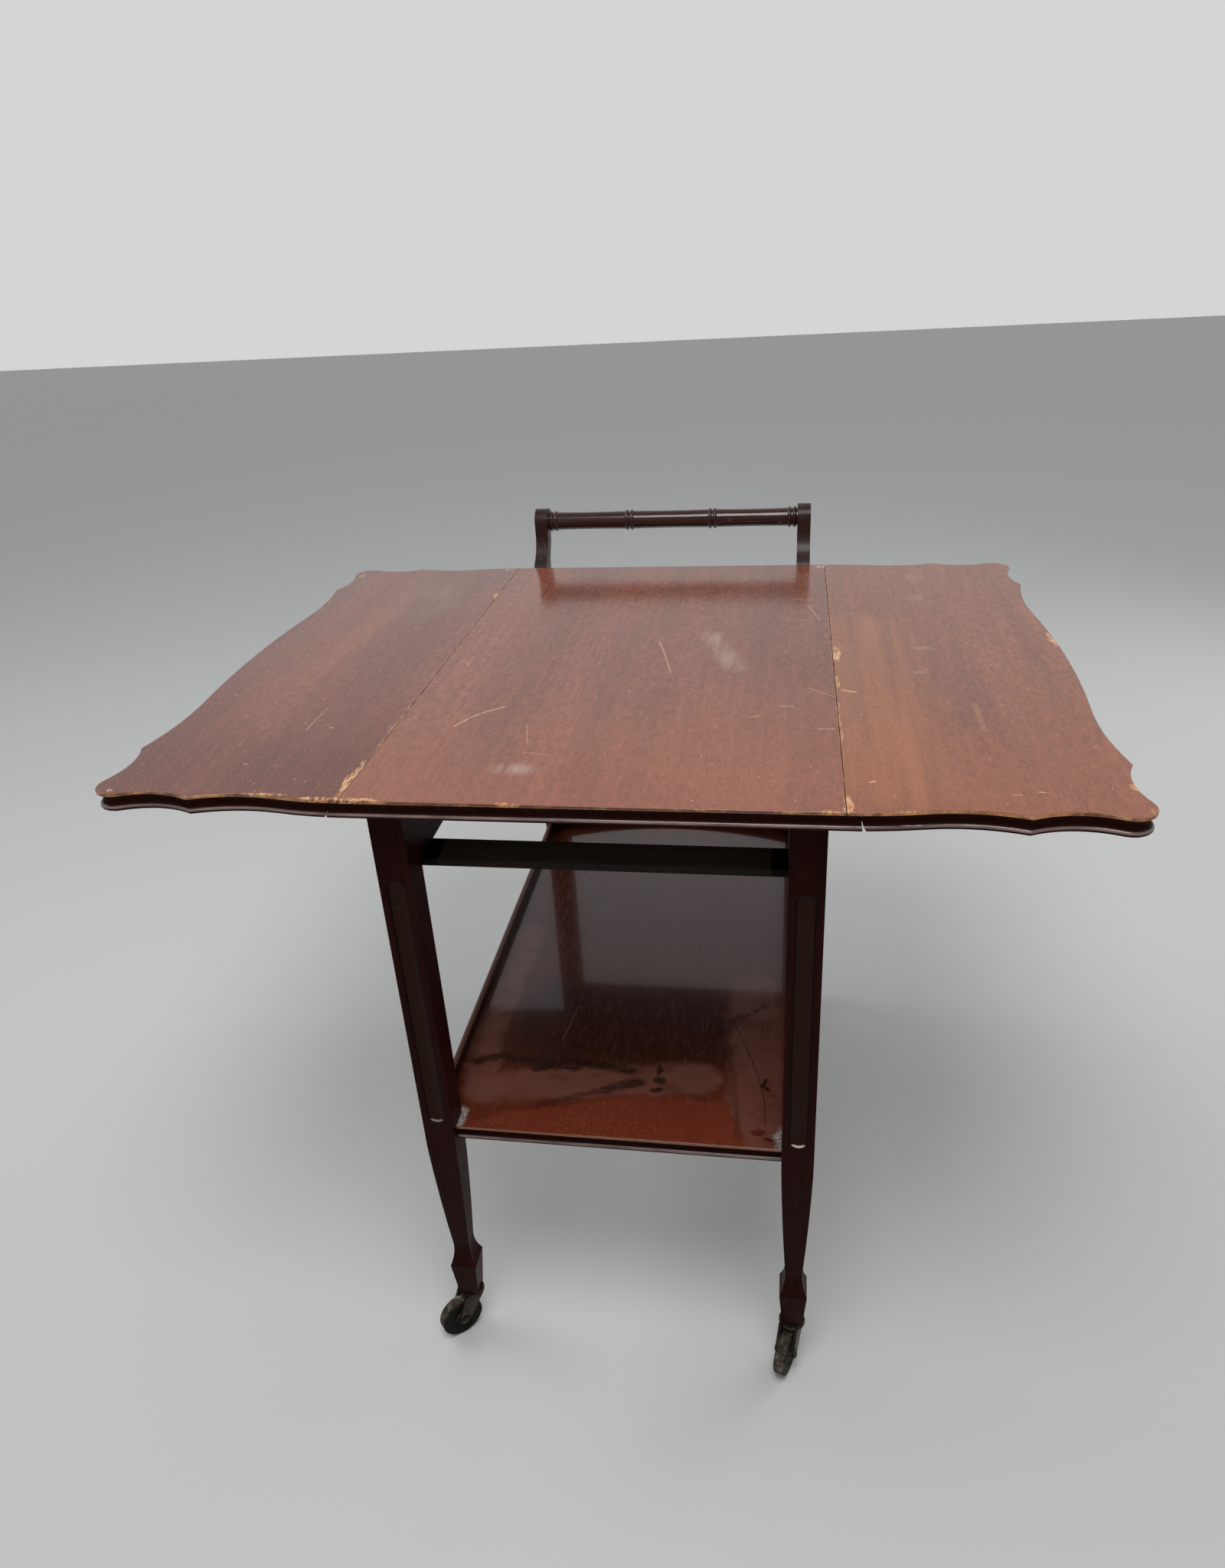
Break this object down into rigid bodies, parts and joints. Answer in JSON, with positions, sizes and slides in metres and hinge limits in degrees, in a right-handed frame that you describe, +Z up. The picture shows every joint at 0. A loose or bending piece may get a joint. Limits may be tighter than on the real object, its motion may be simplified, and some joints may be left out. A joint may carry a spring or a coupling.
{
  "type": "drop leaf tea trolley",
  "caption": "Wooden tea trolley with a rule-jointed top and shaped drop leaves, a lower shelf with galleries, a turned push handle and swivel castors.",
  "frame": {"origin": "on the floor under the middle of the whole trolley, leaves raised", "axes": "+X across the trolley from leaf to leaf, +Y towards the push handle, +Z up"},
  "size_m": [0.909, 0.7732, 0.8025],
  "materials": {
    "polished_top": "worn satin polish",
    "dark_frame": "dark satin stain",
    "inside_wood": "unpolished",
    "polished_shelf": "gloss polish",
    "handle_wood": "satin polish",
    "hinge_steel": "dull",
    "screw_steel": "dull",
    "castor_metal": "worn",
    "castor_wheel": "dusty"
  },
  "bodies": {
    "base": {"top_panel": "polished_top", "leg_front_left": "dark_frame", "leg_front_right": "dark_frame", "leg_rear_left": "dark_frame", "leg_rear_right": "dark_frame", "side_apron_left": "dark_frame", "side_apron_right": "dark_frame", "rear_apron": "dark_frame", "front_bearer": "inside_wood", "top_blocks": "inside_wood", "shelf_dowels": "inside_wood", "fly_block_left": "inside_wood", "fly_block_right": "inside_wood", "shelf": "polished_shelf", "shelf_gallery_left": "polished_shelf", "shelf_gallery_right": "polished_shelf", "shelf_gallery_rear": "polished_shelf", "handle_bracket_left": "handle_wood", "handle_bracket_right": "handle_wood", "handle_bar": "handle_wood", "hinge_plates_top_left": "hinge_steel", "hinge_plates_top_right": "hinge_steel", "hinge_pins_left": "hinge_steel", "hinge_pins_right": "hinge_steel", "fly_pin_left": "hinge_steel", "fly_pin_right": "hinge_steel", "hinge_screws_top_left": "screw_steel", "hinge_screws_top_right": "screw_steel", "top_block_screws": "screw_steel", "handle_screws": "screw_steel", "fly_block_screws": "screw_steel", "bearer_screws": "screw_steel", "castor_pin_front_left": "castor_metal", "castor_pin_front_right": "castor_metal", "castor_pin_rear_left": "castor_metal", "castor_pin_rear_right": "castor_metal"},
    "leaf_left": {"leaf_left": "polished_top", "hinge_plates_leaf_left": "hinge_steel", "hinge_screws_leaf_left": "screw_steel"},
    "fly_left": {"fly_bracket_left": "inside_wood"},
    "leaf_right": {"leaf_right": "polished_top", "hinge_plates_leaf_right": "hinge_steel", "hinge_screws_leaf_right": "screw_steel"},
    "fly_right": {"fly_bracket_right": "inside_wood"},
    "castor_front_left": {"castor_fork_front_left": "castor_metal", "castor_axle_front_left": "castor_metal"},
    "wheel_front_left": {"castor_wheel_front_left": "castor_wheel"},
    "castor_front_right": {"castor_fork_front_right": "castor_metal", "castor_axle_front_right": "castor_metal"},
    "wheel_front_right": {"castor_wheel_front_right": "castor_wheel"},
    "castor_rear_left": {"castor_fork_rear_left": "castor_metal", "castor_axle_rear_left": "castor_metal"},
    "wheel_rear_left": {"castor_wheel_rear_left": "castor_wheel"},
    "castor_rear_right": {"castor_fork_rear_right": "castor_metal", "castor_axle_rear_right": "castor_metal"},
    "wheel_rear_right": {"castor_wheel_rear_right": "castor_wheel"}
  },
  "joints": [
    {"name": "leaf_left_drop", "type": "hinge", "parent": "base", "child": "leaf_left", "pos_m": [-0.214, -0.03437, 0.7146], "axis": [0, -1, 0], "range_deg": [0, 90]},
    {"name": "leaf_right_drop", "type": "hinge", "parent": "base", "child": "leaf_right", "pos_m": [0.214, -0.03437, 0.7146], "axis": [0, 1, 0], "range_deg": [0, 90]},
    {"name": "fly_left_swing", "type": "hinge", "parent": "base", "child": "fly_left", "pos_m": [-0.1985, 0.07038, 0.6886], "axis": [0, 0, 1], "range_deg": [-90, 0]},
    {"name": "fly_right_swing", "type": "hinge", "parent": "base", "child": "fly_right", "pos_m": [0.1985, 0.07038, 0.6886], "axis": [0, 0, -1], "range_deg": [-90, 0]},
    {"name": "swivel_front_left", "type": "hinge", "parent": "base", "child": "castor_front_left", "pos_m": [-0.186, -0.34387, 0.056], "axis": [0, 0, 1], "continuous": true},
    {"name": "roll_front_left", "type": "hinge", "parent": "castor_front_left", "child": "wheel_front_left", "pos_m": [-0.19975, -0.35625, 0.025], "axis": [0.6691, -0.7431, 0], "continuous": true},
    {"name": "swivel_front_right", "type": "hinge", "parent": "base", "child": "castor_front_right", "pos_m": [0.186, -0.34387, 0.056], "axis": [0, 0, 1], "continuous": true},
    {"name": "roll_front_right", "type": "hinge", "parent": "castor_front_right", "child": "wheel_front_right", "pos_m": [0.17998, -0.36136, 0.025], "axis": [0.9455, -0.3256, 0], "continuous": true},
    {"name": "swivel_rear_left", "type": "hinge", "parent": "base", "child": "castor_rear_left", "pos_m": [-0.186, 0.29463, 0.056], "axis": [0, 0, 1], "continuous": true},
    {"name": "roll_rear_left", "type": "hinge", "parent": "castor_rear_left", "child": "wheel_rear_left", "pos_m": [-0.19634, 0.27929, 0.025], "axis": [0.829, -0.5592, 0], "continuous": true},
    {"name": "swivel_rear_right", "type": "hinge", "parent": "base", "child": "castor_rear_right", "pos_m": [0.186, 0.29463, 0.056], "axis": [0, 0, 1], "continuous": true},
    {"name": "roll_rear_right", "type": "hinge", "parent": "castor_rear_right", "child": "wheel_rear_right", "pos_m": [0.17031, 0.28482, 0.025], "axis": [0.5299, -0.848, 0], "continuous": true}
  ]
}
